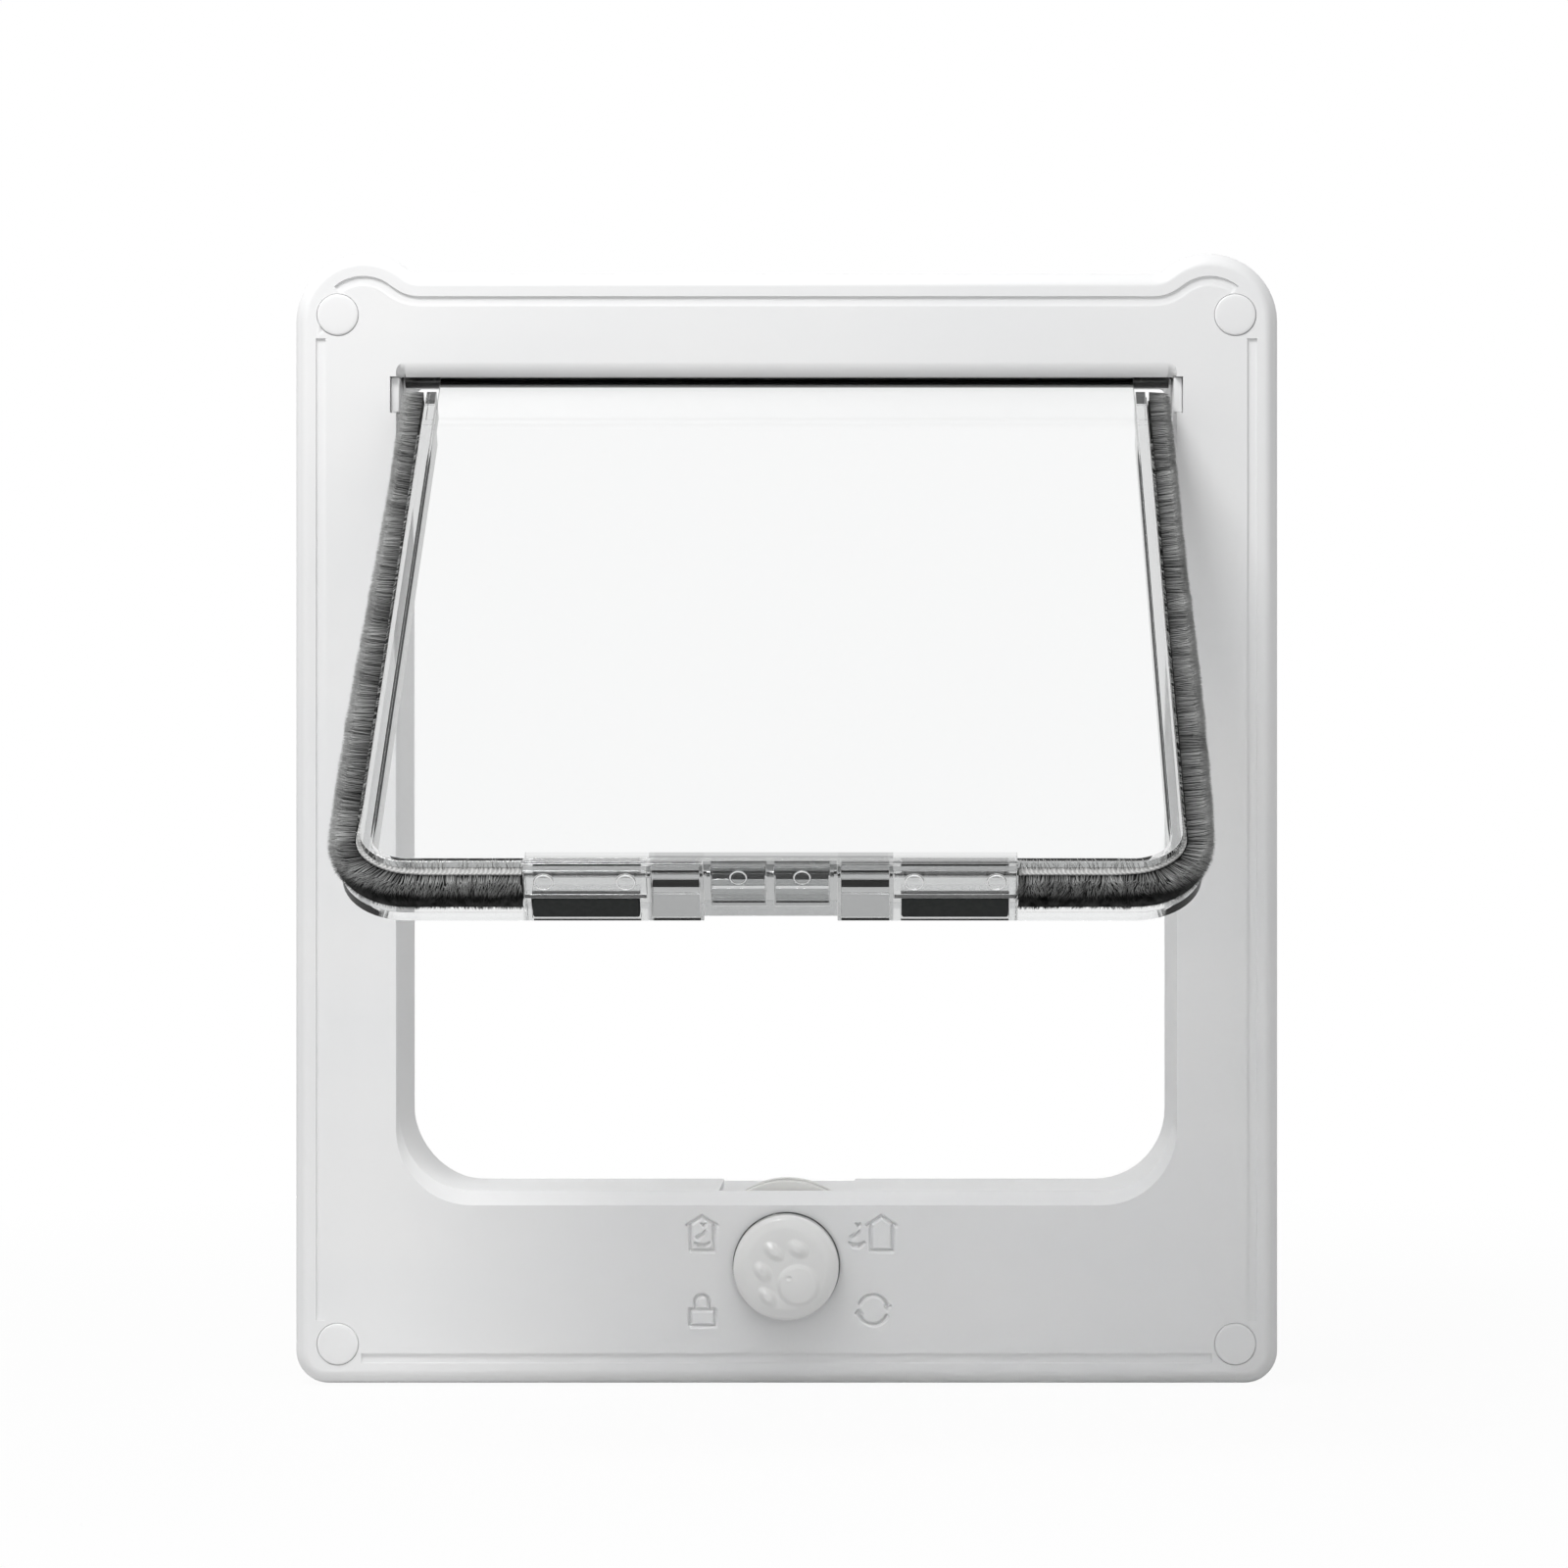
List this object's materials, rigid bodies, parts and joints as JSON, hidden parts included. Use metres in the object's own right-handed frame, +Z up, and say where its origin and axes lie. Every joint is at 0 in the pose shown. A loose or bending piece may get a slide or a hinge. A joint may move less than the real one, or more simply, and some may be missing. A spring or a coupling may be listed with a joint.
{
  "type": "cat flap",
  "caption": "Clear top-hung pet flap with brush seal in a white frame for a door, with a turning lock knob.",
  "frame": {"origin": "centre of the opening, on the plane where the front flange meets the door", "axes": "X to the right seen from the front, +Y into the door, +Z up"},
  "size_m": [0.251, 0.2143, 0.2889],
  "materials": {
    "shell": "satin moulded white",
    "clear": "clear gloss",
    "pile": "grey brush pile",
    "magnet": "dark ferrite",
    "steel": "bright zinc"
  },
  "bodies": {
    "frame": {"front_frame": "shell", "rear_frame": "shell", "screw_cap_top_left": "shell", "screw_cap_top_right": "shell", "screw_cap_bottom_left": "shell", "screw_cap_bottom_right": "shell", "frame_screws": "steel", "hinge_clip_left": "shell", "hinge_clip_right": "shell", "sill_magnet_left": "magnet", "sill_magnet_right": "magnet", "hinge_rod": "steel"},
    "flap": {"flap_panel": "clear", "pile_strip_left": "pile", "pile_strip_right": "pile", "flap_magnet_left": "magnet", "flap_magnet_right": "magnet", "magnet_cover_left": "clear", "magnet_cover_right": "clear"},
    "latch_left": {"latch_left": "clear"},
    "latch_right": {"latch_right": "clear"},
    "lock": {"lock_knob": "shell", "knob_ring": "clear", "lock_drum": "shell", "knob_screw": "steel"}
  },
  "joints": [
    {"name": "flap_swing", "type": "hinge", "parent": "frame", "child": "flap", "pos_m": [0, -0.0077, 0.1055], "axis": [1, 0, 0], "range_deg": [-6.5, 109.5]},
    {"name": "latch_left_lift", "type": "hinge", "parent": "flap", "child": "latch_left", "pos_m": [-0.007, -0.16753, -0.01934], "axis": [1, 0, 0], "range_deg": [0, 25]},
    {"name": "latch_right_lift", "type": "hinge", "parent": "flap", "child": "latch_right", "pos_m": [0.007, -0.16753, -0.01934], "axis": [1, 0, 0], "range_deg": [0, 25]},
    {"name": "lock_turn", "type": "hinge", "parent": "frame", "child": "lock", "pos_m": [0, -0.016, -0.1228], "axis": [0, 1, 0], "range_deg": [0, 270]}
  ]
}
